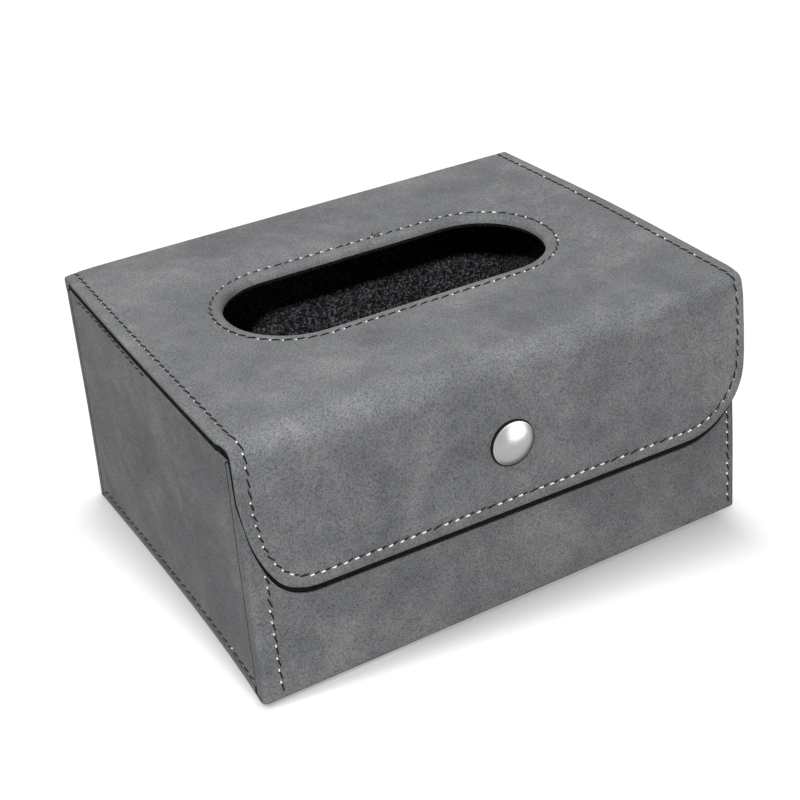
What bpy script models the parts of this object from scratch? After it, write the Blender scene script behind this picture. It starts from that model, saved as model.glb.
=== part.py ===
# Car tissue holder: a box of covered panels with a folding lid, a front flap and a magnetic button.
# Metres, +Z up. The origin is the middle of the base, +X to the right and +Y to the back.
import math

import bmesh
import bpy
from mathutils import Vector

# Outside of the box
body_width = 0.190
body_depth = 0.143
lid_top = 0.096
corner_radius = 0.0020

# Layers of the panels, and the glue line that parts them
leather = 0.0009
skived_leather = 0.0007
stiffener = 0.0018
flap_stiffener = 0.0013
felt = 0.0008
flap_felt = 0.0007
layer_gap = 0.0003

# Leather that is folded round an edge
front_return = 0.0057
rear_return = 0.0047
base_lip = 0.0028

# Lid and flap: the lid stands clear of the rim, more so at the front, reaches past each side of
# the box and spreads towards the front
rear_lid_gap = 0.0006
front_lid_gap = 0.0080
lid_overhang = 0.0010
lid_spread = 0.0020
bend_radius = 0.0095
hinge_radius = 0.0025
flap_drop = 0.0610
flap_corner_radius = 0.0245

# Slot that the tissues are drawn through
slot_length = 0.124
slot_width = 0.050
slot_end_radius = 0.0245
slot_offset = -0.0004

# Magnetic button, and how far it sits below the lid's top
button_drop = 0.0325
cap_radius = 0.0085
cap_rise = 0.0036
cap_shell = 0.0005
cap_mouth_radius = 0.0060
flange_radius = 0.0069
flange_thickness = 0.0005
shank_radius = 0.0015
shank_clearance = 0.0003
rivet_head_radius = 0.0028
rivet_head = 0.0005
case_radius = 0.0070
case_wall = 0.0005
case_floor = 0.0004
case_proud = 0.0010
catch_radius = 0.0070
catch_plate_thickness = 0.0008
pip_base_radius = 0.0022
pip_top_radius = 0.0005
pip_height = 0.0005
washer_radius = 0.0045
washer_thickness = 0.0006
tail_head_radius = 0.0026
tail_head = 0.0004

# How finely curves are cut
corner_steps = 4
flap_corner_steps = 10
bend_steps = 6
slot_end_steps = 14
turned_steps = 32
dome_steps = 7
overrun = 0.0020
weld = 0.00001

# Layers of a wall, as depths from its outer face
board_face = leather + layer_gap
board_back = board_face + stiffener
felt_face = board_back + layer_gap
wall = felt_face + felt

# Layers of the lid and the flap
lid_thickness = wall
flap_board_face = leather + layer_gap
flap_board_back = flap_board_face + flap_stiffener
flap_felt_face = flap_board_back + layer_gap
flap_thickness = flap_felt_face + flap_felt

# Places worked out from the sizes above
half_width = body_width / 2
half_depth = body_depth / 2
rear_rim_height = lid_top - lid_thickness - rear_lid_gap
front_rim_height = lid_top - lid_thickness - front_lid_gap
flap_bottom = lid_top - flap_drop
button_height = lid_top - button_drop
lid_rear_half_width = half_width + lid_overhang
lid_front_half_width = lid_rear_half_width + lid_spread
flap_clearance = catch_plate_thickness + case_proud + 2 * layer_gap
flap_face = half_depth + flap_clearance + flap_thickness
bend_centre = Vector((0, bend_radius - flap_face, lid_top - bend_radius))
hinge_centre = Vector((0, half_depth - hinge_radius, lid_top - hinge_radius))
half_right_angle = math.pi / 4
case_depth = case_proud + flap_felt
magnet_thickness = case_depth - case_floor - layer_gap
magnet_bore = rivet_head_radius + layer_gap
magnet_radius = case_radius - case_wall - layer_gap
hole_radius = shank_radius + shank_clearance


def clear_scene():
    for item in list(bpy.data.objects):
        bpy.data.objects.remove(item, do_unlink=True)


def new_collection(name):
    group = bpy.data.collections.new(name)
    bpy.context.scene.collection.children.link(group)
    return group


def make_material(name, colour, roughness, metallic):
    material = bpy.data.materials.new(name)
    material.use_nodes = True
    shader = material.node_tree.nodes["Principled BSDF"]
    shader.inputs["Base Color"].default_value = (*colour, 1)
    shader.inputs["Roughness"].default_value = roughness
    shader.inputs["Metallic"].default_value = metallic
    return material


def move_to(item, group):
    for owner in list(item.users_collection):
        owner.objects.unlink(item)
    group.objects.link(item)


def as_part(item, material):
    """Name the mesh like its object, and give it its finish."""
    item.data.name = item.name
    item.data.materials.clear()
    item.data.materials.append(material)
    move_to(item, parts)
    return item


def as_cutter(item):
    item.hide_render = True
    item.display_type = "WIRE"
    move_to(item, cutters)
    return item


def boolean(item, tool, operation):
    modifier = item.modifiers.new(tool.name, "BOOLEAN")
    modifier.operation = operation
    modifier.solver = "EXACT"
    modifier.object = tool


def cut(item, tool):
    boolean(item, as_cutter(tool), "DIFFERENCE")


def add_box(name, low, high):
    """A box between two opposite corners, with its origin at its middle."""
    corners = Vector(low), Vector(high)
    bpy.ops.mesh.primitive_cube_add(size=1, location=(corners[0] + corners[1]) / 2)
    box = bpy.context.object
    box.name = name
    box.scale = corners[1] - corners[0]
    bpy.ops.object.transform_apply(location=False, rotation=False, scale=True)
    return box


def add_strip(name, outline, half_width_at, origin):
    """A side outline of (y, z) points, drawn out to both sides as far as half_width_at(y)."""
    shape = bmesh.new()
    ring = [shape.verts.new((0, y, z)) for y, z in outline]
    face = shape.faces.new(ring)
    drawn = bmesh.ops.extrude_face_region(shape, geom=[face])
    far = {vertex for vertex in drawn["geom"] if isinstance(vertex, bmesh.types.BMVert)}
    for vertex in shape.verts:
        reach = half_width_at(vertex.co.y)
        vertex.co.x = reach if vertex in far else -reach
    for vertex in shape.verts:
        vertex.co -= origin
    bmesh.ops.recalc_face_normals(shape, faces=shape.faces)
    mesh = bpy.data.meshes.new(name)
    shape.to_mesh(mesh)
    shape.free()
    strip = bpy.data.objects.new(name, mesh)
    strip.location = origin
    bpy.context.scene.collection.objects.link(strip)
    return strip


def bevel_edges(item, radius, steps, chosen):
    """Round the edges whose two ends, in world coordinates, chosen() accepts."""
    shape = bmesh.new()
    shape.from_mesh(item.data)
    picked = []
    for edge in shape.edges:
        ends = [vertex.co + item.location for vertex in edge.verts]
        if chosen(*ends):
            picked.append(edge)
    bmesh.ops.bevel(shape, geom=picked, offset=radius, offset_type="OFFSET", segments=steps,
                    profile=0.5, affect="EDGES", clamp_overlap=True)
    shape.to_mesh(item.data)
    shape.free()


def near(first, second):
    return abs(first - second) < weld


def upright(a, b):
    return near(a.x, b.x) and near(a.y, b.y)


def arc(centre, radius, start, end, steps):
    """Points of an arc in the side view, at angles measured from the back, upwards."""
    angles = [start + (end - start) * step / steps for step in range(steps + 1)]
    return [(centre.y + radius * math.cos(a), centre.z + radius * math.sin(a)) for a in angles]


def add_turned(name, profile, closed):
    """Turn a profile of (radius, height) points. Height runs out of the front, towards -Y."""
    mesh = bpy.data.meshes.new(name)
    shape = bmesh.new()
    points = [shape.verts.new((radius, 0, height)) for radius, height in profile]
    for first, second in zip(points, points[1:]):
        shape.edges.new((first, second))
    if closed:
        shape.edges.new((points[-1], points[0]))
    shape.to_mesh(mesh)
    shape.free()
    item = bpy.data.objects.new(name, mesh)
    item.rotation_euler.x = math.pi / 2
    bpy.context.scene.collection.objects.link(item)
    screw = item.modifiers.new("Turn", "SCREW")
    screw.axis = "Z"
    screw.angle = 2 * math.pi
    screw.steps = turned_steps
    screw.render_steps = turned_steps
    screw.use_merge_vertices = True
    screw.merge_threshold = weld
    return item


def add_hole(name, radius, y_low, y_high):
    """A cutter for a round hole from front to back, on the button's axis."""
    bpy.ops.mesh.primitive_cylinder_add(vertices=turned_steps, radius=radius,
                                        depth=y_high - y_low,
                                        location=(0, (y_low + y_high) / 2, button_height),
                                        rotation=(math.pi / 2, 0, 0))
    hole = bpy.context.object
    hole.name = name
    return hole


def add_stadium(name, grow, z_low, z_high):
    """The slot's outline, larger all round by grow, as an upright block."""
    half_length = slot_length / 2 + grow
    half_slot = slot_width / 2 + grow
    low = (-half_length, slot_offset - half_slot, z_low)
    high = (half_length, slot_offset + half_slot, z_high)
    block = add_box(name, low, high)
    bevel_edges(block, slot_end_radius + grow, slot_end_steps, upright)
    return block


def rim_height(y):
    """Height of a side wall's top edge, which falls from the back to the front."""
    share = (y + half_depth) / body_depth
    return front_rim_height + (rear_rim_height - front_rim_height) * share


def slope_top(item, drop):
    """Lower the top of a box so that it follows the side wall's rim, drop below it."""
    top = max(vertex.co.z for vertex in item.data.vertices)
    for vertex in item.data.vertices:
        if near(vertex.co.z, top):
            y = vertex.co.y + item.location.y
            vertex.co.z = rim_height(y) - drop - item.location.z


def lid_half_width(y):
    """Half the width of the lid, which spreads towards the front."""
    share = min(max((half_depth - y) / body_depth, 0), 1)
    return lid_rear_half_width + (lid_front_half_width - lid_rear_half_width) * share


def wall_box(name, side, face, back, y_low, y_high, z_low, z_high):
    """A box in a side wall, between two depths below that wall's outer face."""
    x_values = sorted((side * (half_width - face), side * (half_width - back)))
    return add_box(name, (x_values[0], y_low, z_low), (x_values[1], y_high, z_high))


def build_base():
    block = add_box("base_cover", (-half_width, -half_depth, 0), (half_width, half_depth, base_lip))
    bevel_edges(block, corner_radius, corner_steps, upright)
    inner = half_width - leather
    front = -half_depth + front_return + layer_gap
    rear = half_depth - rear_return - layer_gap
    trough = add_box("base_trough_cutter", (-inner, -half_depth - overrun, leather),
                     (inner, half_depth + overrun, base_lip + overrun))
    cut(block, trough)
    wide = half_width + overrun
    for name, y_low, y_high in (("front", -half_depth - overrun, front),
                                ("rear", rear, half_depth + overrun)):
        end = add_box(f"base_{name}_end_cutter", (-wide, y_low, leather),
                      (wide, y_high, base_lip + overrun))
        cut(block, end)
    as_part(block, cover_material)
    board_x = half_width - board_face
    board_y = half_depth - board_face
    board = add_box("base_board", (-board_x, -board_y, board_face), (board_x, board_y, board_back))
    as_part(board, board_material)
    felt_x = half_width - felt_face
    felt_y = half_depth - felt_face
    lining = add_box("base_lining", (-felt_x, -felt_y, felt_face), (felt_x, felt_y, wall))
    as_part(lining, felt_material)


def build_front_wall():
    bottom = leather + layer_gap
    back = front_return - half_depth
    cover = add_box("front_cover", (-half_width, -half_depth, bottom),
                    (half_width, back, front_rim_height))
    bevel_edges(cover, corner_radius, corner_steps,
                lambda a, b: upright(a, b) and near(a.y, -half_depth))
    inner = half_width - leather
    top = front_rim_height - leather
    outline = [(leather - half_depth, bottom - overrun), (leather - half_depth, top),
               (wall - half_depth, top), (wall - half_depth, front_rim_height + overrun),
               (back + overrun, front_rim_height + overrun), (back + overrun, bottom - overrun)]
    hollow = add_strip("front_hollow_cutter", outline, lambda y: inner, Vector())
    bevel_edges(hollow, corner_radius - leather, corner_steps,
                lambda a, b: upright(a, b) and near(a.y, leather - half_depth))
    cut(cover, hollow)
    drill_front(cover, "front_cover_hole_cutter")
    as_part(cover, cover_material)
    board_x = half_width - board_face
    board_top = front_rim_height - board_face
    board = add_box("front_board", (-board_x, board_face - half_depth, felt_face),
                    (board_x, board_back - half_depth, board_top))
    bevel_edges(board, corner_radius - board_face, corner_steps,
                lambda a, b: upright(a, b) and near(a.y, board_face - half_depth))
    drill_front(board, "front_board_hole_cutter")
    as_part(board, board_material)
    felt_x = half_width - felt_face
    lining = add_box("front_lining", (-felt_x, felt_face - half_depth, wall + layer_gap),
                     (felt_x, wall - half_depth, board_top))
    drill_front(lining, "front_lining_hole_cutter")
    as_part(lining, felt_material)


def drill_front(item, name):
    cut(item, add_hole(name, hole_radius, -half_depth - overrun, front_return - half_depth + overrun))


def build_rear_wall():
    """The rear cover runs up past the wall and round half of the lid's hinge."""
    bottom = leather + layer_gap
    front = half_depth - rear_return
    inner_radius = hinge_radius - skived_leather
    seam = layer_gap / 2 / hinge_radius
    outer = arc(hinge_centre, hinge_radius, 0, half_right_angle - seam, bend_steps)
    inner = arc(hinge_centre, inner_radius, half_right_angle - seam, 0, bend_steps)
    outline = [(half_depth, rear_rim_height), *outer, *inner,
               (half_depth - skived_leather, rear_rim_height - overrun),
               (half_depth - skived_leather / 2, rear_rim_height - overrun),
               (half_depth - skived_leather / 2, rear_rim_height)]
    cover = add_box("rear_cover", (-half_width, front, bottom),
                    (half_width, half_depth, rear_rim_height))
    bevel_edges(cover, corner_radius, corner_steps,
                lambda a, b: upright(a, b) and near(a.y, half_depth))
    hollow_x = half_width - leather
    hollow = add_box("rear_hollow_cutter", (-hollow_x, front - overrun, bottom - overrun),
                     (hollow_x, half_depth - leather, rear_rim_height + overrun))
    bevel_edges(hollow, corner_radius - leather, corner_steps,
                lambda a, b: upright(a, b) and near(a.y, half_depth - leather))
    cut(cover, hollow)
    strip_x = half_width - corner_radius
    strip = add_strip("rear_hinge_strip", outline, lambda y: strip_x, Vector())
    boolean(cover, as_cutter(strip), "UNION")
    as_part(cover, cover_material)
    board_x = half_width - board_face
    board_top = rear_rim_height - felt - layer_gap
    board = add_box("rear_board", (-board_x, half_depth - board_back, felt_face),
                    (board_x, half_depth - board_face, board_top))
    bevel_edges(board, corner_radius - board_face, corner_steps,
                lambda a, b: upright(a, b) and near(a.y, half_depth - board_face))
    as_part(board, board_material)
    felt_x = half_width - felt_face
    inner_y = half_depth - wall
    outline = [(inner_y, wall + layer_gap), (inner_y, rear_rim_height),
               (half_depth - board_face, rear_rim_height),
               (half_depth - board_face, rear_rim_height - felt),
               (half_depth - felt_face, rear_rim_height - felt),
               (half_depth - felt_face, wall + layer_gap)]
    lining = add_strip("rear_lining", outline, lambda y: felt_x, Vector((0, inner_y, 0)))
    as_part(lining, felt_material)


def build_side_wall(name, side):
    """One end wall: its cover is a sheet with its top edge turned in over the board and the felt."""
    bottom = base_lip + layer_gap
    high = rear_rim_height
    long_y = half_depth - wall - layer_gap
    sheet_front = -half_depth + front_return + layer_gap
    sheet_rear = half_depth - rear_return - layer_gap
    cover = wall_box(f"{name}_cover", side, 0, wall, -long_y, long_y, bottom, high)
    slope_top(cover, 0)
    hollow = wall_box(f"{name}_hollow_cutter", side, leather, wall + overrun,
                      -long_y - overrun, long_y + overrun, bottom - overrun, high)
    slope_top(hollow, leather)
    cut(cover, hollow)
    for end, y_low, y_high in (("front", -long_y - overrun, sheet_front),
                               ("rear", sheet_rear, long_y + overrun)):
        notch = wall_box(f"{name}_{end}_notch_cutter", side, -overrun, board_face, y_low, y_high,
                         bottom - overrun, high + overrun)
        cut(cover, notch)
    as_part(cover, cover_material)
    board_y = half_depth - board_back - layer_gap
    board = wall_box(f"{name}_board", side, board_face, board_back, -board_y, board_y,
                     felt_face, high)
    slope_top(board, board_face)
    as_part(board, board_material)
    lining = wall_box(f"{name}_lining", side, felt_face, wall, -long_y, long_y,
                      wall + layer_gap, high)
    slope_top(lining, board_face)
    as_part(lining, felt_material)


def build_lid(axis):
    """The lid's leather runs from half of the rear hinge to half of the front bend."""
    inner_radius = hinge_radius - skived_leather
    rear_seam = layer_gap / 2 / hinge_radius
    front_seam = layer_gap / 2 / bend_radius
    underside = lid_top - lid_thickness
    rear_turn = arc(hinge_centre, hinge_radius, half_right_angle + rear_seam, math.pi / 2,
                    bend_steps)
    bend_end = 3 * half_right_angle - front_seam
    front_turn = arc(bend_centre, bend_radius, math.pi / 2, bend_end, bend_steps)
    front_back = arc(bend_centre, bend_radius - lid_thickness, bend_end, math.pi / 2, bend_steps)
    rear_back = arc(hinge_centre, inner_radius, math.pi / 2, half_right_angle + rear_seam,
                    bend_steps)
    outline = [*rear_turn, *front_turn, *front_back, (hinge_centre.y, underside), *rear_back]
    cover = add_strip("lid_cover", outline, lid_half_width, lid_hinge)
    pocket_end = 3 * half_right_angle + half_right_angle / 2
    core_radius = bend_radius - lid_thickness - overrun
    pocket_turn = arc(bend_centre, bend_radius - leather, math.pi / 2, pocket_end, bend_steps)
    pocket_back = arc(bend_centre, core_radius, pocket_end, math.pi / 2, bend_steps)
    pocket_rear = hinge_centre.y + overrun
    outline = [(pocket_rear, lid_top - leather), *pocket_turn, *pocket_back,
               (pocket_rear, underside - overrun)]
    pocket = add_strip("lid_pocket_cutter", outline, lambda y: lid_half_width(y) - leather,
                       Vector())
    island = add_stadium("slot_turned_edge", leather, lid_top - board_back, lid_top + overrun)
    cut(pocket, island)
    cut(cover, pocket)
    cut(cover, add_stadium("slot_cutter", 0, underside - overrun, lid_top + overrun))
    as_part(cover, cover_material)
    sheets = (("lid_board", board_face, board_back, leather + layer_gap, board_material),
              ("lid_lining", felt_face, wall, 0, felt_material))
    front = bend_centre.y + layer_gap
    rear = hinge_centre.y - layer_gap
    pieces = [cover]
    for name, face, back, grow, material in sheets:
        outline = [(front, lid_top - back), (rear, lid_top - back), (rear, lid_top - face),
                   (front, lid_top - face)]
        sheet = add_strip(name, outline, lambda y: lid_half_width(y) - board_face, lid_hinge)
        hole = add_stadium(f"{name}_slot_cutter", grow, lid_top - back - overrun,
                           lid_top - face + overrun)
        cut(sheet, hole)
        pieces.append(as_part(sheet, material))
    hang_on(axis, pieces)


def build_flap(axis):
    """The flap's leather runs from the other half of the bend down to a rounded tongue."""
    reach = lid_front_half_width
    seam = layer_gap / 2 / bend_radius
    start = 3 * half_right_angle + seam
    inner_face = flap_thickness - flap_face
    outer_turn = arc(bend_centre, bend_radius, start, math.pi, bend_steps)
    inner_turn = arc(bend_centre, bend_radius - flap_thickness, math.pi, start, bend_steps)
    outline = [*outer_turn, (-flap_face, flap_bottom), (inner_face, flap_bottom), *inner_turn]
    cover = add_strip("flap_cover", outline, lambda y: reach, flap_hinge)
    round_tongue(cover, flap_bottom, flap_corner_radius)
    pocket_start = 3 * half_right_angle - half_right_angle / 2
    core_radius = bend_radius - flap_thickness - overrun
    pocket_bottom = flap_bottom + leather
    pocket_turn = arc(bend_centre, bend_radius - leather, pocket_start, math.pi, bend_steps)
    pocket_back = arc(bend_centre, core_radius, math.pi, pocket_start, bend_steps)
    outline = [*pocket_turn, (leather - flap_face, pocket_bottom),
               (inner_face + overrun, pocket_bottom), *pocket_back]
    pocket = add_strip("flap_pocket_cutter", outline, lambda y: reach - leather, Vector())
    round_tongue(pocket, pocket_bottom, flap_corner_radius - leather)
    cut(cover, pocket)
    cut(cover, add_hole("flap_cover_hole_cutter", hole_radius, -flap_face - overrun, 0))
    as_part(cover, cover_material)
    sheets = (("flap_board", flap_board_face, flap_board_back, hole_radius, board_material),
              ("flap_lining", flap_felt_face, flap_thickness, case_radius + layer_gap,
               felt_material))
    top = bend_centre.z - layer_gap
    bottom = flap_bottom + board_face
    pieces = [cover]
    for name, face, back, radius, material in sheets:
        outline = [(face - flap_face, bottom), (back - flap_face, bottom),
                   (back - flap_face, top), (face - flap_face, top)]
        sheet = add_strip(name, outline, lambda y: reach - board_face, flap_hinge)
        round_tongue(sheet, bottom, flap_corner_radius - board_face)
        cut(sheet, add_hole(f"{name}_hole_cutter", radius, -flap_face - overrun, 0))
        pieces.append(as_part(sheet, material))
    hang_on(axis, pieces)


def round_tongue(item, bottom, radius):
    """Round the two lower corners of the flap, seen from the front."""
    bevel_edges(item, radius, flap_corner_steps,
                lambda a, b: near(a.z, bottom) and near(b.z, bottom) and near(a.x, b.x))


def build_button(axis):
    """The cap is crimped over a rivet that holds the magnet's case inside the flap."""
    seat = layer_gap
    dome = []
    for step in range(dome_steps + 1):
        angle = math.pi / 2 * (1 - step / dome_steps)
        dome.append((math.cos(angle), math.sin(angle)))
    outer = [(cap_radius * across, seat + cap_shell + cap_rise * up) for across, up in dome]
    inner_radius = cap_radius - cap_shell
    inner_rise = cap_rise - cap_shell
    inner = [(inner_radius * across, seat + cap_shell + inner_rise * up) for across, up in dome]
    profile = [*outer, (cap_radius, seat), (cap_mouth_radius, seat),
               (cap_mouth_radius, seat + cap_shell), *reversed(inner)]
    cap = add_turned("button_cap", profile, False)
    flange = seat + cap_shell + layer_gap
    floor = flap_felt_face + case_floor
    head = floor + layer_gap
    profile = [(0, flange + flange_thickness), (flange_radius, flange + flange_thickness),
               (flange_radius, flange), (shank_radius, flange), (shank_radius, -head),
               (rivet_head_radius, -head), (rivet_head_radius, -head - rivet_head),
               (0, -head - rivet_head)]
    rivet = add_turned("button_rivet", profile, False)
    mouth = flap_felt_face + case_depth
    bore = case_radius - case_wall
    profile = [(case_radius, -flap_felt_face), (case_radius, -mouth), (bore, -mouth),
               (bore, -floor), (hole_radius, -floor), (hole_radius, -flap_felt_face)]
    case = add_turned("magnet_case", profile, True)
    profile = [(magnet_radius, -head), (magnet_radius, -mouth), (magnet_bore, -mouth),
               (magnet_bore, -head)]
    magnet = add_turned("flap_magnet", profile, True)
    finishes = ((cap, nickel_material), (rivet, steel_material), (case, steel_material),
                (magnet, magnet_material))
    for item, material in finishes:
        item.location = (0, -flap_face, button_height)
        as_part(item, material)
    hang_on(axis, [item for item, material in finishes])


def build_catch():
    """The steel plate that the magnet holds, riveted through the front wall over a washer."""
    seat = layer_gap
    plate = seat + catch_plate_thickness
    washer_face = wall + layer_gap
    washer_back = washer_face + washer_thickness
    head = washer_back + layer_gap
    profile = [(0, plate + pip_height), (pip_top_radius, plate + pip_height),
               (pip_base_radius, plate), (catch_radius, plate), (catch_radius, seat),
               (shank_radius, seat), (shank_radius, -head), (tail_head_radius, -head),
               (tail_head_radius, -head - tail_head), (0, -head - tail_head)]
    catch = add_turned("catch_plate", profile, False)
    profile = [(washer_radius, -washer_face), (washer_radius, -washer_back),
               (hole_radius, -washer_back), (hole_radius, -washer_face)]
    washer = add_turned("catch_washer", profile, True)
    for item in (catch, washer):
        item.location = (0, -half_depth, button_height)
        as_part(item, steel_material)


def add_axis(name, place, parent):
    """An empty on a joint's axis, for the pieces that turn about it."""
    axis = bpy.data.objects.new(name, None)
    axis.empty_display_size = hinge_radius
    parts.objects.link(axis)
    axis.location = place
    if parent:
        axis.parent = parent
        axis.location = place - parent.location
    return axis


def hang_on(axis, pieces):
    bpy.context.view_layer.update()
    for piece in pieces:
        piece.parent = axis
        piece.matrix_parent_inverse = axis.matrix_world.inverted()


clear_scene()
parts = new_collection("car_tissue_holder")
cutters = new_collection("cutters")
cover_material = make_material("grey_nubuck", (0.165, 0.172, 0.180), 0.85, 0)
board_material = make_material("stiffener_board", (0.30, 0.27, 0.22), 0.80, 0)
felt_material = make_material("black_felt", (0.012, 0.012, 0.013), 0.95, 0)
nickel_material = make_material("satin_nickel", (0.72, 0.71, 0.69), 0.25, 1)
steel_material = make_material("plated_steel", (0.60, 0.60, 0.60), 0.30, 1)
magnet_material = make_material("magnet", (0.20, 0.20, 0.21), 0.45, 1)

# The fold lines lie on the outer face of the leather, half way round each turn
fold_share = math.cos(half_right_angle)
lid_hinge = hinge_centre + Vector((0, hinge_radius, hinge_radius)) * fold_share
flap_hinge = bend_centre + Vector((0, -bend_radius, bend_radius)) * fold_share
lid_axis = add_axis("lid_axis", lid_hinge, None)
flap_axis = add_axis("flap_axis", flap_hinge, lid_axis)

build_base()
build_front_wall()
build_rear_wall()
build_side_wall("left", -1)
build_side_wall("right", 1)
build_lid(lid_axis)
build_flap(flap_axis)
build_button(flap_axis)
build_catch()
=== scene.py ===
import math
import random

import bmesh
import bpy
from mathutils import Matrix, Vector


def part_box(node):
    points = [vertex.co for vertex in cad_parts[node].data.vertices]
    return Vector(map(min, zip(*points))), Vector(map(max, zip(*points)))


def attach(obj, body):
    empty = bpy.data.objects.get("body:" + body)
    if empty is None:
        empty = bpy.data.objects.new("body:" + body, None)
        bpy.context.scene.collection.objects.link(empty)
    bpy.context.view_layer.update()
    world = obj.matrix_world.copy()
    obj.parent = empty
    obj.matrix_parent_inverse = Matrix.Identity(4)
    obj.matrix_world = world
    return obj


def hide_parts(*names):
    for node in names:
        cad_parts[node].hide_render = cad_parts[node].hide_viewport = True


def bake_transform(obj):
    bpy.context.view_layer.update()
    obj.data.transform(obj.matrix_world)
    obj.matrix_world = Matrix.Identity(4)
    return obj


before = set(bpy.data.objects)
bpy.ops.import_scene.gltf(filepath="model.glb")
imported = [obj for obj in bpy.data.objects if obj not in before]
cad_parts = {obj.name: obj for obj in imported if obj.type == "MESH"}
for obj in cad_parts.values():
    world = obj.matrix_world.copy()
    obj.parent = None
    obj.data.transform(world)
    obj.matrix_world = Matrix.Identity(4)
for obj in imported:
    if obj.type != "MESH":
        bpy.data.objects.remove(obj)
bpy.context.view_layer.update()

# Camera, fitted to the straight edges of the box in the photograph
camera_azimuth = math.radians(-28.16)
camera_elevation = math.radians(29.58)
camera_roll = math.radians(-4.14)
camera_distance = 0.62714
camera_side = -0.00149
camera_rise = 0.03771
camera_lens = 73.95

# Floor
floor_size = 6
floor_gap = 0.0002
floor_white = 0.96

# Sizes that the frame gives
lid_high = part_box("lid_cover")[1]
flap_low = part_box("flap_cover")[0]
front_low, front_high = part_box("front_cover")
rear_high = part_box("rear_cover")[1]
side_low, side_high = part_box("left_cover")
floor_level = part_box("base_cover")[0].z
lid_top = lid_high.z
lid_thickness = lid_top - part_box("lid_lining")[0].z
flap_face = flap_low.y
flap_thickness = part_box("flap_lining")[1].y - flap_face
flap_bottom = flap_low.z
half_width = front_high.x
front_face = front_low.y
rear_face = rear_high.y
front_rim = front_high.z
rear_rim = side_high.z
skin_reach = lid_high.x

# Sizes of the leather work
leather = 0.0005
bend_radius = 0.0095
tight_radius = 0.0030
hinge_radius = 0.0025
tightest_fold = 0.9
tongue_radius = 0.0245
edge_radius = 0.0006
under_radius = 0.0004
turned_under = 0.0012
edge_depth = 0.0016
lip_radius = 0.0021
lip_depth = 0.0028
felt_top = 0.0018
felt_inset = 0.0003
# The leather stops short of the flap's foot and the felt reaches past it, so a dark strip of felt
# shows there: painted shade for the shadow under the flap
leather_short = 0.0020
felt_past = 0.0006
felt_hole = 0.0003
groove_width = 0.0011
groove_depth = 0.00028
seam_edge_radius = 0.00040
base_edge_radius = 0.00020
base_recess = 0.0015
base_front_band = 0.0015
slot_taper = 0.00001
metal_edge = 0.00012
flap_felt = 0.0007
board_short = 0.0005
level_gap = 0.000005

# Gaps that are closed when points are merged
pattern_weld = 0.000002
spin_weld = 0.000005
node_weld = 0.00001

# How far the lid's leather reaches to the left (-1) and to the right (1) of the middle
rear_reach = {-1: 0.0950, 1: 0.0958}
front_reach = {-1: 0.0985, 1: 0.0966}
edge_bulge = {-1: 0.0005, 1: 0.0010}
flap_reach = {-1: 0.0975, 1: 0.0958}
flap_flare = {-1: 0, 1: 0.0022}
flare_run = 0.60
bend_pinch = 0.0009
crease_start = 0.030
right_crowding = 0.0014
right_arch = 0.0005
left_droop = 0.0008
front_droop = 0.0004
left_taper = 0.0052
taper_start = 0.33
taper_run = 0.55

# Slot
slot_length = 0.124
slot_width = 0.050
slot_end_radius = 0.0245
slot_offset = -0.0004

# Stitching
stitch_pitch = 0.0042
stitch_share = 0.94
thread_radius = 0.00029
end_thinning = 0.86
edge_inset = 0.00450
slot_inset = 0.0043
left_corner_inset = 0.0062
right_corner_inset = 0.0032
hem_drop = 0.0018
hem_closing = 0.0014
hem_front = -0.0020
hem_rear_gap = 0.0080
foot_rise = 0.0049
foot_end_gap = 0.0025
corner_end_gap = 0.0030
hinge_overrun = 0.0010
stitch_slant = math.radians(17)
slant_range = (0.6, 1.3)
seam_sink = 0.8

# A stitch of unit length: where it is bent, and how its two ends taper, flatten, slide and dip
stitch_places = (-0.5, -0.44, -0.30, -0.10, 0.12, 0.30, 0.44, 0.5)
end_taper = 0.35
thread_flatness = 0.95
end_flatness = 0.25
end_slide = 0.35
thread_rise = 0.75
end_dip = 1.5
# How much of a stitch's end is painted pale as a glint, for the short and the long glints
short_gleam = 0.24
long_gleam = 0.42

# How many of the stitches show no painted glint at their end, from 0 to 1
dark_at_foot = 0.12
dark_at_front_left = 0.15
dark_at_rear_left = 0.65
dark_down_right = 0.25
dark_along_right = 0.8
dark_behind_slot = 0.25
dark_round_slot = 0.45
dark_at_corners = 0.12
dark_on_sides = 0.95
foot_band = 0.010
top_band = 0.002
bright_run = 0.030

# Lines of the flat pattern, measured along the leather
right_angle = math.pi / 2
bend_y = flap_face + bend_radius
bend_z = lid_top - bend_radius
hinge_y = rear_face - hinge_radius
hinge_z = lid_top - hinge_radius
pattern_front = bend_y - bend_radius * right_angle - (bend_z - flap_bottom)
lid_rear_cut = 0.0672
lid_front_cut = -0.0600
rear_seam_drop = 0.0008
rear_seam = rear_rim - rear_seam_drop
pattern_rear = hinge_y + hinge_radius * right_angle + hinge_z - rear_seam

# Button
button_height = 0.0635
cap_radius = 0.0085
cap_rise = 0.0033
cap_lift = 0.0007
cap_shell = 0.0005
cap_rim = 0.0006
cap_shade_rim = 0.00042
flange_radius = 0.0069
shank_radius = 0.0015
rivet_head_radius = 0.0028
rivet_head = 0.0005
case_radius = 0.0070
case_wall = 0.0005
case_floor = 0.0004
case_proud = 0.0010
plate_radius = 0.0070
plate_thickness = 0.0008
pip_base_radius = 0.0022
pip_top_radius = 0.0005
pip_height = 0.0005
seat_gap = 0.0003

# The walls of a soft box stand out a little at the foot, and the sides' rims wave
front_lean = 0.0053
left_lean = 0.0033
left_lean_end = 0.22
left_lean_run = 0.26
rear_lean = 0.0028
lean_height = 0.050
lean_curve = 1.6
left_foot_out = 0.0032
left_foot_in = 0.0003
right_foot_out = 0.0023
right_bulge = 0.0033
rim_wave = 0.00085
wave_length = 0.130
wave_middle = 0.012
wave_low = 0.070
wave_run = 0.012
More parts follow.
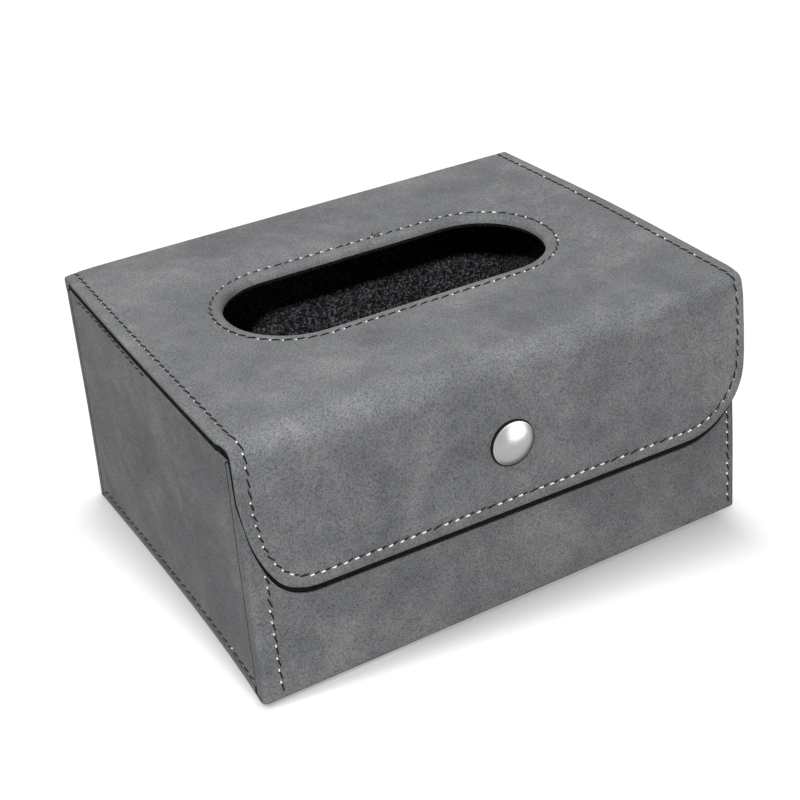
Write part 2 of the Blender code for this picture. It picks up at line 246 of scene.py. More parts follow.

# Where the walls' leather shows its dyed cut edges, with painted shade of the seam gaps next to them,
# and how wide and deep the rim is inside them
dark_line_near_side = 0.0011
dark_line_off_corner = 0.0030
dark_line_foot_low = 0.0008
dark_line_foot_high = 0.0045
rim_width = 0.0010
rim_depth = 0.0020
inner_x = half_width - rim_width
inner_y = rear_face - rim_width


def pick(item):
    """Make this the only object that is selected."""
    bpy.ops.object.select_all(action="DESELECT")
    item.select_set(True)
    bpy.context.view_layer.objects.active = item


def start_editing(item):
    pick(item)
    bpy.ops.object.mode_set(mode="EDIT")
    bpy.ops.mesh.select_all(action="DESELECT")


def stop_editing():
    bpy.ops.object.mode_set(mode="OBJECT")


def choose(item, kind, wanted):
    """Select the vertices, edges or faces of the mesh being edited that wanted() accepts."""
    bpy.ops.mesh.select_mode(type=kind)
    bpy.ops.mesh.select_all(action="DESELECT")
    shape = bmesh.from_edit_mesh(item.data)
    for element in {"VERT": shape.verts, "EDGE": shape.edges, "FACE": shape.faces}[kind]:
        if wanted(element):
            element.select_set(True)
    bmesh.update_edit_mesh(item.data)


def weld(gap):
    """Merge the points of the mesh being edited that lie no further apart than gap."""
    bpy.ops.mesh.select_all(action="SELECT")
    bpy.ops.mesh.remove_doubles(threshold=gap)


def face_outwards():
    bpy.ops.mesh.select_all(action="SELECT")
    bpy.ops.mesh.normals_make_consistent(inside=False)


def draw_out(step):
    """Extrude what is selected by a step."""
    bpy.ops.mesh.extrude_region_move(TRANSFORM_OT_translate={"value": step})


def apply_place(item):
    """Put the object's place, turn and size into its mesh."""
    pick(item)
    bpy.ops.object.transform_apply(location=True, rotation=True, scale=True)


def apply_modifiers(item):
    pick(item)
    for modifier in list(item.modifiers):
        bpy.ops.object.modifier_apply(modifier=modifier.name)


def smooth_faces(item, degrees):
    pick(item)
    bpy.ops.object.shade_smooth_by_angle(angle=math.radians(degrees))


def round_edges(item, radius, segments, degrees):
    """Round the edges that are sharper than an angle."""
    rounding = item.modifiers.new("Rounding", "BEVEL")
    rounding.width = radius
    rounding.segments = segments
    rounding.limit_method = "ANGLE"
    rounding.angle_limit = math.radians(degrees)
    apply_modifiers(item)


def give_thickness(item, thickness):
    wall = item.modifiers.new("Leather", "SOLIDIFY")
    wall.thickness = thickness
    wall.offset = -1
    wall.use_even_offset = True
    apply_modifiers(item)


def finish(item, material):
    item.data.name = item.name
    item.data.materials.clear()
    item.data.materials.append(material)
    return item


def cover_faces(item, material, wanted):
    """Give one more material to the faces that wanted() accepts."""
    item.data.materials.append(material)
    start_editing(item)
    choose(item, "FACE", wanted)
    item.active_material_index = len(item.data.materials) - 1
    bpy.ops.object.material_slot_assign()
    stop_editing()


def link(item):
    """Put a new object into the scene."""
    bpy.context.scene.collection.objects.link(item)
    return item


def own_copy(item, name):
    """A copy of the object with a mesh of its own."""
    copy = item.copy()
    copy.data = item.data.copy()
    copy.name = name
    return link(copy)


def node_copy(part, name):
    """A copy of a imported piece, its loose triangles joined."""
    piece = link(bpy.data.objects.new(name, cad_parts[part].data.copy()))
    start_editing(piece)
    weld(node_weld)
    return piece


def inset_to(item, inward, rise):
    """Inset the selected face, with its inner part higher by rise than its border."""
    shape = bmesh.from_edit_mesh(item.data)
    face = next(face for face in shape.faces if face.select)
    facing = 1 if face.normal.z > 0 else -1
    bpy.ops.mesh.inset(thickness=inward, depth=rise * facing, use_even_offset=True)


def quarter_round(item, radius, steps, inward_first, rise_sign):
    """Inset in small steps along a quarter circle."""
    before = 0.0, 0.0
    for step in range(1, steps + 1):
        angle = right_angle * step / steps
        if inward_first:
            now = radius * math.sin(angle), radius * (1 - math.cos(angle))
        else:
            now = radius * (1 - math.cos(angle)), radius * math.sin(angle)
        inset_to(item, now[0] - before[0], rise_sign * (now[1] - before[1]))
        before = now


def groove(item):
    """Sink a narrow groove for a stitch line, with its middle groove_width inside the border."""
    inset_to(item, groove_width * 0.55, -groove_depth * 0.45)
    inset_to(item, groove_width * 0.45, -groove_depth * 0.55)
    inset_to(item, groove_width * 0.45, groove_depth * 0.55)
    inset_to(item, groove_width * 0.55, groove_depth * 0.45)


def limited(share):
    return min(max(share, 0), 1)


def eased(share):
    """Ease in and out from 0 to 1."""
    share = limited(share)
    return share * share * (3 - 2 * share)


def bend_radius_at(x):
    """The bend is rounder at its left end than at its right end, where the leather is creased."""
    share = eased((x - crease_start) / (skin_reach - crease_start))
    return bend_radius + (tight_radius - bend_radius) * share


def lid_share(y):
    """How far along the lid y lies, from 0 at the hinge to 1 at the bend."""
    return limited((hinge_y - y) / (hinge_y - bend_y))


def bend_share(y):
    """How far round the bend y lies on the flat pattern, from 0 to 1."""
    return limited((bend_y - y) / (bend_radius * right_angle))


def half_reach(side, y):
    """How far the lid's leather reaches to one side at y on the flat pattern."""
    along, past = lid_share(y), bend_share(y)
    reach = rear_reach[side] + (front_reach[side] - rear_reach[side]) * along
    reach += edge_bulge[side] * math.sin(math.pi * along)
    down = limited((bend_y - y) / (bend_y - pattern_front))
    at_flap = flap_reach[side] + flap_flare[side] * eased(down / flare_run)
    return reach + (at_flap - front_reach[side]) * past - bend_pinch * math.sin(math.pi * past) ** 2


def bowed(point):
    """Let out a point of the straight pattern to the leather's real, slightly bowed edge."""
    x, y, height = point
    side = -1 if x < 0 else 1
    outward = min(abs(x) / skin_reach, 1.0)
    along, past = lid_share(y), bend_share(y)
    x_bowed = x + side * (half_reach(side, y) - skin_reach) * outward ** 3
    if side > 0:
        half_seam = (skin_reach - edge_inset) / 2
        inner = limited((x - half_seam) / half_seam) ** 2
        outer = limited((skin_reach - x) / edge_inset)
        above_corner = limited((y - pattern_front - tongue_radius * 0.3) / tongue_radius)
        x_bowed += right_crowding * past * above_corner * min(inner, outer)
        lift = right_arch * outward ** 4 * math.sin(math.pi * along) ** 2
    else:
        drawn_in = eased(((bend_y - y) / (bend_y - pattern_front) - taper_start) / taper_run)
        x_bowed += left_taper * drawn_in * outward ** 8
        lift = -(left_droop + front_droop * along) * (1 - past) ** 2 * outward ** 16
    return Vector((x_bowed, y, height + lift))


def over_form(point):
    """Carry a point of the flat pattern over the lid, round the bend and down the flap."""
    x, y, height = point
    if y > hinge_y:
        turn = min((y - hinge_y) / hinge_radius, right_angle)
        past = y - hinge_y - turn * hinge_radius
        radius = hinge_radius + max(height, -tightest_fold * hinge_radius)
        return Vector((x, hinge_y + radius * math.sin(turn),
                       hinge_z + radius * math.cos(turn) - past))
    if y > bend_y:
        return Vector((x, y, lid_top + height))
    radius = bend_radius_at(x)
    spare = bend_radius - radius
    pattern_run = bend_radius * right_angle
    real_run = 2 * spare + radius * right_angle
    past = bend_y - y
    along = past * real_run / pattern_run if past < pattern_run else past + real_run - pattern_run
    if along < spare:
        return Vector((x, bend_y - along, lid_top + height))
    turn = min((along - spare) / radius, right_angle)
    down = along - spare - turn * radius
    thinning = 1 + (flap_thickness / lid_thickness - 1) * turn / right_angle
    reach = max(radius + height * thinning, seat_gap)
    return Vector((x, flap_face + radius - reach * math.sin(turn),
                   lid_top - radius + reach * math.cos(turn) - down))


def on_lid(x, y, height):
    return over_form(bowed((x, y, height)))


def drape(item):
    """Lay a flat pattern piece over the lid and the flap."""
    for vertex in item.data.vertices:
        vertex.co = on_lid(*vertex.co)
    item.data.update()


def add_tongue_sheet(name, grow, height, low, rear_end):
    """A flat sheet of the lid's pattern from low to rear_end, with the flap's two corners rounded."""
    reach = skin_reach + grow
    bpy.ops.object.select_all(action="DESELECT")
    bpy.ops.mesh.primitive_plane_add(size=1, location=(0, (low + rear_end) / 2, height))
    sheet = bpy.context.object
    sheet.name = name
    sheet.scale = (2 * reach, rear_end - low, 1)
    apply_place(sheet)
    start_editing(sheet)
    choose(sheet, "VERT", lambda vertex: vertex.co.y < 0)
    bpy.ops.mesh.bevel(offset=tongue_radius + grow, segments=14, affect="VERTICES")
    choose(sheet, "FACE", lambda face: True)
    return sheet


def add_slot_sheet(grow, height):
    """Add the slot's outline, larger all round by grow, to the mesh being edited."""
    reach = slot_length / 2 + grow
    half_slot = slot_width / 2 + grow
    bpy.ops.mesh.select_all(action="DESELECT")
    bpy.ops.mesh.primitive_plane_add(size=2, location=(0, slot_offset, height))
    bpy.ops.transform.resize(value=(reach, half_slot, 1), center_override=(0, slot_offset, height))
    bpy.ops.mesh.select_mode(type="VERT")
    bpy.ops.mesh.bevel(offset=slot_end_radius + grow, segments=20, affect="VERTICES")
    bpy.ops.mesh.select_mode(type="FACE")


def cut_across(axis, places):
    """Cut the mesh being edited across an axis at each place, so that it can bend there."""
    normal = {"X": (1, 0, 0), "Y": (0, 1, 0), "Z": (0, 0, 1)}[axis]
    for place in places:
        bpy.ops.mesh.select_all(action="SELECT")
        bpy.ops.mesh.bisect(plane_co=[place * part for part in normal], plane_no=normal)


def trim(item, place, normal):
    """Cut away what lies beyond a plane."""
    start_editing(item)
    bpy.ops.mesh.select_all(action="SELECT")
    bpy.ops.mesh.bisect(plane_co=place, plane_no=normal, clear_outer=True)
    stop_editing()


def stations(first, last, count):
    return [first + (last - first) * step / count for step in range(count + 1)]


def model_lid_leather():
    """The flat pattern of the lid, the flap and the hinge, turned in round its edge and the slot."""
    skin = add_tongue_sheet("skin", 0, -edge_radius, pattern_front + leather_short,
                            pattern_rear + tongue_radius)
    quarter_round(skin, edge_radius, steps=5, inward_first=False, rise_sign=1)
    inset_to(skin, edge_inset - edge_radius - groove_width, 0)
    groove(skin)
    inset_to(skin, groove_width, 0)
    bpy.ops.mesh.delete(type="FACE")
    choose(skin, "EDGE", lambda edge: edge.is_boundary
           and all(vertex.co.z < -edge_radius * 0.9 for vertex in edge.verts))
    side_wall = edge_depth - edge_radius - under_radius
    draw_out((0, 0, -side_wall))
    bpy.ops.mesh.edge_face_add()
    bpy.ops.mesh.select_mode(type="FACE")
    quarter_round(skin, under_radius, steps=3, inward_first=False, rise_sign=-1)
    inset_to(skin, turned_under - under_radius, 0)
    bpy.ops.mesh.delete(type="FACE")

    add_slot_sheet(slot_inset + 2 * groove_width, 0)
    inset_to(skin, groove_width, 0)
    groove(skin)
    inset_to(skin, slot_inset - groove_width - lip_radius, 0)
    quarter_round(skin, lip_radius, steps=6, inward_first=True, rise_sign=-1)
    inset_to(skin, slot_taper, lip_radius - lip_depth)
    bpy.ops.mesh.delete(type="FACE")

    choose(skin, "EDGE", lambda edge: edge.is_boundary
           and all(abs(vertex.co.z) < level_gap for vertex in edge.verts))
    bpy.ops.mesh.fill(use_beauty=True)
    bend_end = bend_y - bend_radius * right_angle
    hinge_end = hinge_y + hinge_radius * right_angle
    across = (stations(bend_y, bend_end, 12) + stations(bend_end, pattern_front, 5)[1:-1]
              + stations(bend_y, hinge_y, 12)[1:-1] + stations(hinge_y, hinge_end, 6))
    cut_across("Y", across)
    limit_x = skin_reach - edge_inset - 3 * groove_width
    cut_across("X", stations(-limit_x, limit_x, 14))
    weld(pattern_weld)
    face_outwards()
    stop_editing()
    trim(skin, (0, pattern_rear, 0), (0, 1, 0))
    return skin


def model_lid_felt():
    """The black felt inside the lid and the flap, with its hole for the slot. Its foot reaches below
    the leather, and all but its inner face is a darker felt: both painted shade.
    """
    low = pattern_front - felt_past
    felt_sheet = add_tongue_sheet("lid_felt", -felt_inset, -felt_top, low, lid_rear_cut)
    inset_to(felt_sheet, edge_inset, 0)
    bpy.ops.mesh.delete(type="FACE")
    add_slot_sheet(felt_hole + 2 * slot_inset, -felt_top)
    inset_to(felt_sheet, 2 * slot_inset, 0)
    bpy.ops.mesh.delete(type="FACE")
    inner = skin_reach - edge_inset * 0.9
    front = low + edge_inset * 0.9
    rear = lid_rear_cut - edge_inset * 0.9

    def is_inner(place):
        return abs(place.x) < inner and front < place.y < rear

    choose(felt_sheet, "EDGE", lambda edge: edge.is_boundary and not is_slot_rim(edge)
           and all(is_inner(vertex.co) for vertex in edge.verts))
    bpy.ops.mesh.fill(use_beauty=True)
    bend_end = bend_y - bend_radius * right_angle
    cut_across("Y", stations(bend_y, bend_end, 10) + stations(bend_end, pattern_front, 4)[1:-1]
               + stations(bend_y, lid_rear_cut, 8)[1:-1])
    cut_across("X", stations(-inner, inner, 10))
    weld(pattern_weld)
    draw_out((0, 0, felt_top - lid_thickness))
    face_outwards()
    stop_editing()
    # All of the felt but its inner face is the darker felt, painted shade
    finish(felt_sheet, painted_shade_felt)
    cover_faces(felt_sheet, felt,
                lambda face: face.normal.z < -0.5 and is_inner(face.calc_center_median()))
    drape(felt_sheet)
    smooth_faces(felt_sheet, 35)
    return felt_sheet


def is_slot_rim(edge):
    """True for the edges right at the felt's slot hole."""
    reach = slot_length / 2 + felt_hole * 2
    half_slot = slot_width / 2 + felt_hole * 2
    return all(abs(vertex.co.x) < reach and abs(vertex.co.y - slot_offset) < half_slot
               for vertex in edge.verts)


def skin_piece(skin, name, cuts):
    """The part of the flat pattern that the cuts leave, laid over its form."""
    piece = own_copy(skin, name)
    for place, normal in cuts:
        trim(piece, place, normal)
    drape(piece)
    start_editing(piece)
    face_outwards()
    stop_editing()
    give_thickness(piece, leather)
    smooth_faces(piece, 30)
    return finish(piece, nubuck)


def leaned(point):
    """Let a point of the box's walls stand out towards the foot, and the sides' rims wave a little."""
    x, y, z = point
    share = max(1 - z / lean_height, 0) ** lean_curve
    reach = y / rear_face
    across = (x + half_width) / (2 * half_width)
    at_left = 1 - eased((across - left_lean_end) / left_lean_run)
    out = rear_lean if y > 0 else front_lean + left_lean * at_left
    near_rim = limited((z - wave_low) / wave_run) * (1 - reach ** 8)
    wave = rim_wave * math.sin(2 * math.pi * (y - wave_middle) / wave_length) * near_rim
    to_front = limited((rear_face - y) / (2 * rear_face))
    height = limited(z / front_rim)
    if x < 0:
        aside = left_foot_in * math.sin(math.pi * to_front) - left_foot_out * to_front ** 4
        aside *= share
    else:
        aside = right_foot_out * (1 - height) + right_bulge * math.sin(math.pi * height)
        aside *= to_front ** 2
    return Vector((x + aside * (x / half_width) ** 4, y + out * share * reach, z + wave))


def is_dyed_edge_and_shade(face):
    """True for the leather's dyed cut edges and the rounding next to them, thin dark lines on the
    sides and at the foot that are partly painted shade of the seam gaps.
    """
    middle = face.calc_center_median()
    on_side = abs(middle.x) > half_width - dark_line_near_side
    off_corner = abs(middle.y) < rear_face - dark_line_off_corner
    at_foot = dark_line_foot_low < middle.z < dark_line_foot_high
    fold_end = on_side and off_corner and abs(face.normal.y) > 0.15
    return fold_end or at_foot and abs(face.normal.z) > 0.4


def is_shaded_open_rim(face):
    """True for the top of the walls inside the outer leather, painted dark as the shade under the lid.
    """
    middle = face.calc_center_median()
    on_top = face.normal.z > 0.5 and middle.z > front_rim - rim_depth
    return on_top and abs(middle.x) < inner_x and abs(middle.y) < inner_y


def finished_copy(part, name, radius):
    """A copy of a packed wall piece, its edges rounded and its foot let out."""
    piece = node_copy(part, name)
    bpy.ops.mesh.dissolve_limited(angle_limit=math.radians(1))
    stop_editing()
    round_edges(piece, radius, segments=3, degrees=40)
    # The walls take the darker nubuck, painted shade
    finish(piece, shaded_wall_nubuck)
    start_editing(piece)
    cut_across("Z", stations(0.004, lean_height, 9))
    cut_across("Y", stations(front_face * 0.8, rear_face * 0.8, 8))
    cut_across("X", (-inner_x, inner_x))
    cut_across("Y", (-inner_y, inner_y))
    stop_editing()
    # The cut edges, and the rounding by them as painted shade of the seam gaps, get the dyed edge
    # colour
    cover_faces(piece, edge_dye_and_shade, is_dyed_edge_and_shade)
    # The open rim inside gets the darker felt, painted shade under the lid
    cover_faces(piece, painted_shade_felt, is_shaded_open_rim)
    for vertex in piece.data.vertices:
        vertex.co = leaned(vertex.co)
    smooth_faces(piece, 35)
    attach(piece, "root")
    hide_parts(part)
    return piece


def fitted_board(part, kept_in, flat_y):
    """A copy of a packed board, drawn in or let out like the leather's edge round it.

    kept_in(x, y, z) holds it inside the leather, and flat_y(y, z) is its y on the flat pattern."""
    piece = node_copy(part, part.replace("board", "stiffener"))
    low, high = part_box(part)
    cut_across("Y", stations(low.y, high.y, 10)[1:-1])
    cut_across("Z", stations(low.z, high.z, 10)[1:-1])
    stop_editing()
    for vertex in piece.data.vertices:
        x, y, z = kept_in(*vertex.co)
        let_out = bowed((x, flat_y(y, z), z))
        vertex.co = (let_out.x, y, let_out.z)
    smooth_faces(piece, 35)
    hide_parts(part)
    return finish(piece, board)


# Stitches

def model_stitch():
    """One stitch along X, of unit length: a twisted thread that dips into the leather at its ends."""
    bpy.ops.object.select_all(action="DESELECT")
    bpy.ops.mesh.primitive_cylinder_add(vertices=7, radius=thread_radius, depth=1,
                                        rotation=(0, right_angle, 0))
    stitch = bpy.context.object
    stitch.name = "stitch"
    apply_place(stitch)
    start_editing(stitch)
    cut_across("X", stitch_places[1:-1])
    for x in stitch_places:
        along = 2 * x
        choose(stitch, "VERT", lambda vertex: abs(vertex.co.x - x) < 0.01)
        width = 1 - end_taper * along ** 6
        height = thread_flatness - end_flatness * along ** 4
        rise = thread_radius * (thread_rise - end_dip * along ** 6)
        bpy.ops.transform.resize(value=(1, width, height), center_override=(x, 0, 0))
        bpy.ops.transform.translate(value=(0, -end_slide * thread_radius * along, rise))
    stop_editing()
    smooth_faces(stitch, 60)
    finish(stitch, thread)
    return stitch


def with_painted_glint(stitch, share):
    """A copy of the stitch whose last part is painted pale: a painted glint where the waxed thread
    shines.
    """
    pale = own_copy(stitch, "glint_stitch")
    cover_faces(pale, painted_glint_thread, lambda face: face.calc_center_median().x < -0.5 + share)
    return pale


def sew(name, seats, kind_at):
    """Lay a stitch on each seat, which gives its start, its end and the way up.

    kind_at(place) gives the stitch to use and how often it takes the dark one instead."""
    copies = []
    for start, end, up in seats:
        bright, chance_of_dark = kind_at((start + end) / 2)
        model = stitch if chance.random() < chance_of_dark else bright
        copy = own_copy(model, name)
        along = end - start
        length = along.length
        along.normalize()
        across = up.cross(along).normalized()
        up = along.cross(across)
        turned_by = Matrix.Rotation(stitch_slant * chance.uniform(*slant_range), 3, up)
        axes = Matrix((turned_by @ along, turned_by @ across, up)).transposed()
        place = Matrix.Translation((start + end) / 2) @ axes.to_4x4()
        copy.matrix_world = place @ Matrix.Diagonal((length, 1, 1, 1))
        copies.append(copy)
    bpy.context.view_layer.update()
    bpy.ops.object.select_all(action="DESELECT")
    for copy in copies:
        copy.select_set(True)
    seam = copies[0]
    bpy.context.view_layer.objects.active = seam
    bpy.ops.object.join()
    apply_place(seam)
    seam.name = name
    seam.data.name = name
    return seam


def edge_kind(place):
    """The lid's edge seam has the most painted glints along the flap's foot, and the fewest along the
    lid's right edge.
    """
    if place.z < flap_bottom + foot_band:
        return long_glint_stitch, dark_at_foot
    if place.x < 0:
        return short_glint_stitch, dark_at_front_left if place.y < bright_run else dark_at_rear_left
    on_flap = place.z < lid_top - top_band
    return short_glint_stitch, dark_down_right if on_flap else dark_along_right


def slot_kind(place):
    if place.y > slot_offset + slot_width * 0.4:
        return long_glint_stitch, dark_behind_slot
    return short_glint_stitch, dark_round_slot


def evenly(path):
    """Split a path into stitches: pairs of points, the pairs one pitch apart."""
    lengths = [(b - a).length for a, b in zip(path, path[1:])]
    total = sum(lengths)
    count = max(round(total / stitch_pitch), 1)
    step = total / count

    def at(distance):
        for a, b, length in zip(path, path[1:], lengths):
            if distance <= length:
                return a.lerp(b, distance / length)
            distance -= length
        return path[-1].copy()

    margin = step * (1 - stitch_share) / 2
    return [(at(k * step + margin), at((k + 1) * step - margin)) for k in range(count)]


def hem_height(y):
    """The height of the hem stitches, which run closer to the sides' sloping rim towards the front."""
    share = (side_high.y - y) / (side_high.y - side_low.y)
    return rear_rim + (front_rim - rear_rim) * share - hem_drop + hem_closing * share


def lid_seats(path):
    """Seats for the stitches along a path on the flat pattern, raised where the leather bends."""
    seats = []
    for start, end in evenly(path):
        a = on_lid(start.x, start.y, -groove_depth)
        b = on_lid(end.x, end.y, -groove_depth)
        middle = (start + end) / 2
        crown = on_lid(middle.x, middle.y, -groove_depth)
        rise = (crown - (a + b) / 2) * seam_sink
        up = on_lid(middle.x, middle.y, 0) - on_lid(middle.x, middle.y, -leather)
        seats.append((a + rise, b + rise, up.normalized()))
    return seats


def corner_arc(centre_x, centre_y, radius, start, end, steps=24):
    angles = stations(start, end, steps)
    return [Vector((centre_x + radius * math.cos(a), centre_y + radius * math.sin(a), 0))
            for a in angles]


def lid_edge_path():
    """The stitch line from the lid's rear left corner, round the flap, to the rear right corner."""
    x = skin_reach - edge_inset
    low = pattern_front + leather_short + edge_inset
    radius = tongue_radius - edge_inset
    rear = hinge_y + hinge_overrun
    path = [Vector((-x, rear, 0))]
    path += corner_arc(-x + radius, low + radius, radius, math.pi, 1.5 * math.pi)
    path += corner_arc(x - radius, low + radius, radius, 1.5 * math.pi, 2 * math.pi)
    path.append(Vector((x, rear, 0)))
    return path


def slot_path():
    grow = slot_inset
    reach = slot_length / 2 + grow
    half_slot = slot_width / 2 + grow
    radius = slot_end_radius + grow
    path = []
    for sign_x, sign_y, start in ((1, 1, 0), (-1, 1, 0.5), (-1, -1, 1), (1, -1, 1.5)):
        path += corner_arc(sign_x * (reach - radius), slot_offset + sign_y * (half_slot - radius),
                           radius, start * math.pi, (start + 0.5) * math.pi)
    path.append(path[0].copy())
    return path


def wall_seats(start, end, up):
    """Stitches along a straight line on a wall of the box."""
    return [(leaned(a), leaned(b), Vector(up))
            for a, b in evenly([Vector(start), Vector(end)])]


# Materials

def new_material(name):
    material = bpy.data.materials.new(name)
    material.use_nodes = True
    tree = material.node_tree
    shader = tree.nodes["Principled BSDF"]
    return material, tree, shader


def node(tree, kind, **settings):
    made = tree.nodes.new(kind)
    for key, value in settings.items():
        setattr(made, key, value)
    return made


def set_inputs(made, **values):
    """Set a node's inputs by their names, with a low line for each space."""
    for label, value in values.items():
        made.inputs[label.replace("_", " ")].default_value = value


def connect(tree, *pairs):
    for output, target in pairs:
        tree.links.new(output, target)


def grey(value):
    return value, value, value


def new_group(name, output, **inputs):
    """An empty node group with a float output and float inputs."""
    group = bpy.data.node_groups.new(name, "ShaderNodeTree")
    for label, value in inputs.items():
        socket = group.interface.new_socket(name=label.replace("_", " "), in_out="INPUT",
                                            socket_type="NodeSocketFloat")
        socket.default_value = value
    group.interface.new_socket(name=output, in_out="OUTPUT", socket_type="NodeSocketFloat")
    return group, group.nodes.new("NodeGroupInput"), group.nodes.new("NodeGroupOutput")


def make_clouds_group():
    """Soft cloudy patches with finer wisps in them, from 0 to 1."""
    group, given, out = new_group("hide_clouds", "Mask", Patch_scale=20.0, Wisp_scale=90.0,
                                  Wisp_share=0.3)
    place = node(group, "ShaderNodeTexCoord").outputs["Object"]
    patches = node(group, "ShaderNodeTexNoise")
    set_inputs(patches, Detail=4, Roughness=0.55, Distortion=0.4)
    wisps = node(group, "ShaderNodeTexNoise")
    set_inputs(wisps, Detail=5, Roughness=0.65)
    blend = node(group, "ShaderNodeMix", data_type="FLOAT")
    connect(group, (place, patches.inputs["Vector"]), (place, wisps.inputs["Vector"]),
            (given.outputs["Patch scale"], patches.inputs["Scale"]),
            (given.outputs["Wisp scale"], wisps.inputs["Scale"]),
            (given.outputs["Wisp share"], blend.inputs["Factor"]),
            (patches.outputs["Fac"], blend.inputs["A"]), (wisps.outputs["Fac"], blend.inputs["B"]),
            (blend.outputs["Result"], out.inputs["Mask"]))
    return group


def make_grain_group():
    """Fine grain, as a height: a nap of short fibres with pores between them."""
    group, given, out = new_group("fine_grain", "Height", Nap_scale=1500.0, Pore_scale=1100.0,
                                  Pore_share=0.35)
    place = node(group, "ShaderNodeTexCoord").outputs["Object"]
    nap = node(group, "ShaderNodeTexNoise")
    set_inputs(nap, Detail=3, Roughness=0.7)
    pores = node(group, "ShaderNodeTexVoronoi", feature="F1")
    blend = node(group, "ShaderNodeMix", data_type="FLOAT")
    connect(group, (place, nap.inputs["Vector"]), (place, pores.inputs["Vector"]),
            (given.outputs["Nap scale"], nap.inputs["Scale"]),
            (given.outputs["Pore scale"], pores.inputs["Scale"]),
            (given.outputs["Pore share"], blend.inputs["Factor"]),
            (nap.outputs["Fac"], blend.inputs["A"]), (pores.outputs["Distance"], blend.inputs["B"]),
            (blend.outputs["Result"], out.inputs["Height"]))
    return group


def place_group(tree, group, **values):
    made = node(tree, "ShaderNodeGroup", node_tree=group)
    set_inputs(made, **values)
    return made


def ramp(tree, source, stops):
    """A colour ramp of (place, colour) stops, fed by a mask."""
    made = node(tree, "ShaderNodeValToRGB")
    band = made.color_ramp
    while len(band.elements) < len(stops):
        band.elements.new(0.5)
    for element, (place, colour) in zip(band.elements, stops):
        element.position = place
        element.color = (*colour, 1)
    tree.links.new(source, made.inputs["Fac"])
    return made.outputs["Color"]


def bump(tree, shader, source, strength, distance):
    made = node(tree, "ShaderNodeBump")
    set_inputs(made, Strength=strength, Distance=distance)
    connect(tree, (source, made.inputs["Height"]), (made.outputs["Normal"], shader.inputs["Normal"]))


def multiply(tree, first, second):
    made = node(tree, "ShaderNodeMix", data_type="RGBA", blend_type="MULTIPLY")
    set_inputs(made, Factor=1)
    connect(tree, (first, made.inputs["A"]), (second, made.inputs["B"]))
    return made.outputs["Result"]


def make_nubuck(name, clouds, grain, depth):
    """Brushed leather: cloudy grey with a fine nap. A lower depth is darker, which the walls' copy
    uses as painted shade.
    """
    material, tree, shader = new_material(name)
    cloud = place_group(tree, clouds, Patch_scale=36.0, Wisp_scale=150.0, Wisp_share=0.36)
    fine = place_group(tree, grain, Nap_scale=1700.0, Pore_scale=2100.0, Pore_share=0.25)
    dark, middle, light = (tuple(depth * value for value in colour) for colour in (
        (0.116, 0.120, 0.125), (0.150, 0.154, 0.159), (0.196, 0.200, 0.204)))
    tone = ramp(tree, cloud.outputs["Mask"], [(0.34, dark), (0.50, middle), (0.66, light)])
    speck = ramp(tree, fine.outputs["Height"], [(0.35, grey(0.58)), (0.57, grey(1.40))])
    rough = ramp(tree, cloud.outputs["Mask"], [(0.3, grey(0.95)), (0.7, grey(0.82))])
    connect(tree, (multiply(tree, tone, speck), shader.inputs["Base Color"]),
            (rough, shader.inputs["Roughness"]))
    set_inputs(shader, Specular_IOR_Level=0.10, Sheen_Weight=0.08, Sheen_Roughness=0.45)
    bump(tree, shader, fine.outputs["Height"], 0.5, 0.00016)
    return material


def make_dull(name, grain, scales, stops, roughness, gloss, relief):
    """A material without metal, whose tone and relief follow the grain."""
    material, tree, shader = new_material(name)
    nap_scale, pore_scale, pore_share = scales
    fine = place_group(tree, grain, Nap_scale=nap_scale, Pore_scale=pore_scale,
                       Pore_share=pore_share)
    tone = ramp(tree, fine.outputs["Height"], stops)
    connect(tree, (tone, shader.inputs["Base Color"]))
    set_inputs(shader, Roughness=roughness, Specular_IOR_Level=gloss)
    bump(tree, shader, fine.outputs["Height"], *relief)
    return material


def make_edge_dye_and_shade(grain):
    """The dyed cut edge of the leather, also painted over the rounding next to it as shade of the seam
    gaps.
    """
    stops = [(0.3, (0.016, 0.015, 0.015)), (0.7, (0.050, 0.047, 0.045))]
    return make_dull("edge_dye_and_shade", grain, (1500.0, 2100.0, 0.3), stops, 0.8, 0.1, (0.3, 0.0001))


def make_felt(name, grain, scale, dark, middle, light):
    """Felt, a little bluish where its fibres catch the light."""
    stops = [(0.36, grey(dark)), (0.50, (middle, middle * 1.06, middle * 1.14)),
             (0.66, (light, light * 1.06, light * 1.14))]
    return make_dull(name, grain, (scale, 1.5 * scale, 0.25), stops, 0.95, 0.05, (0.8, 0.0004))


def make_thread(name, grain, dark, light, gloss):
    stops = [(0.3, grey(dark)), (0.7, grey(light))]
    return make_dull(name, grain, (2600.0, 3000.0, 0.3), stops, 0.45, gloss, (0.3, 0.0001))


def make_metal(name, grain, dark, light, low, high):
    """A metal from dark to light in tone, and from low to high in roughness."""
    material, tree, shader = new_material(name)
    fine = place_group(tree, grain, Nap_scale=700.0, Pore_scale=2400.0, Pore_share=0.2)
    tone = ramp(tree, fine.outputs["Height"], [(0.3, dark), (0.7, light)])
    rough = ramp(tree, fine.outputs["Height"], [(0.3, grey(low)), (0.7, grey(high))])
    connect(tree, (tone, shader.inputs["Base Color"]), (rough, shader.inputs["Roughness"]))
    set_inputs(shader, Metallic=1)
    bump(tree, shader, fine.outputs["Height"], 0.04, 0.00002)
    return material


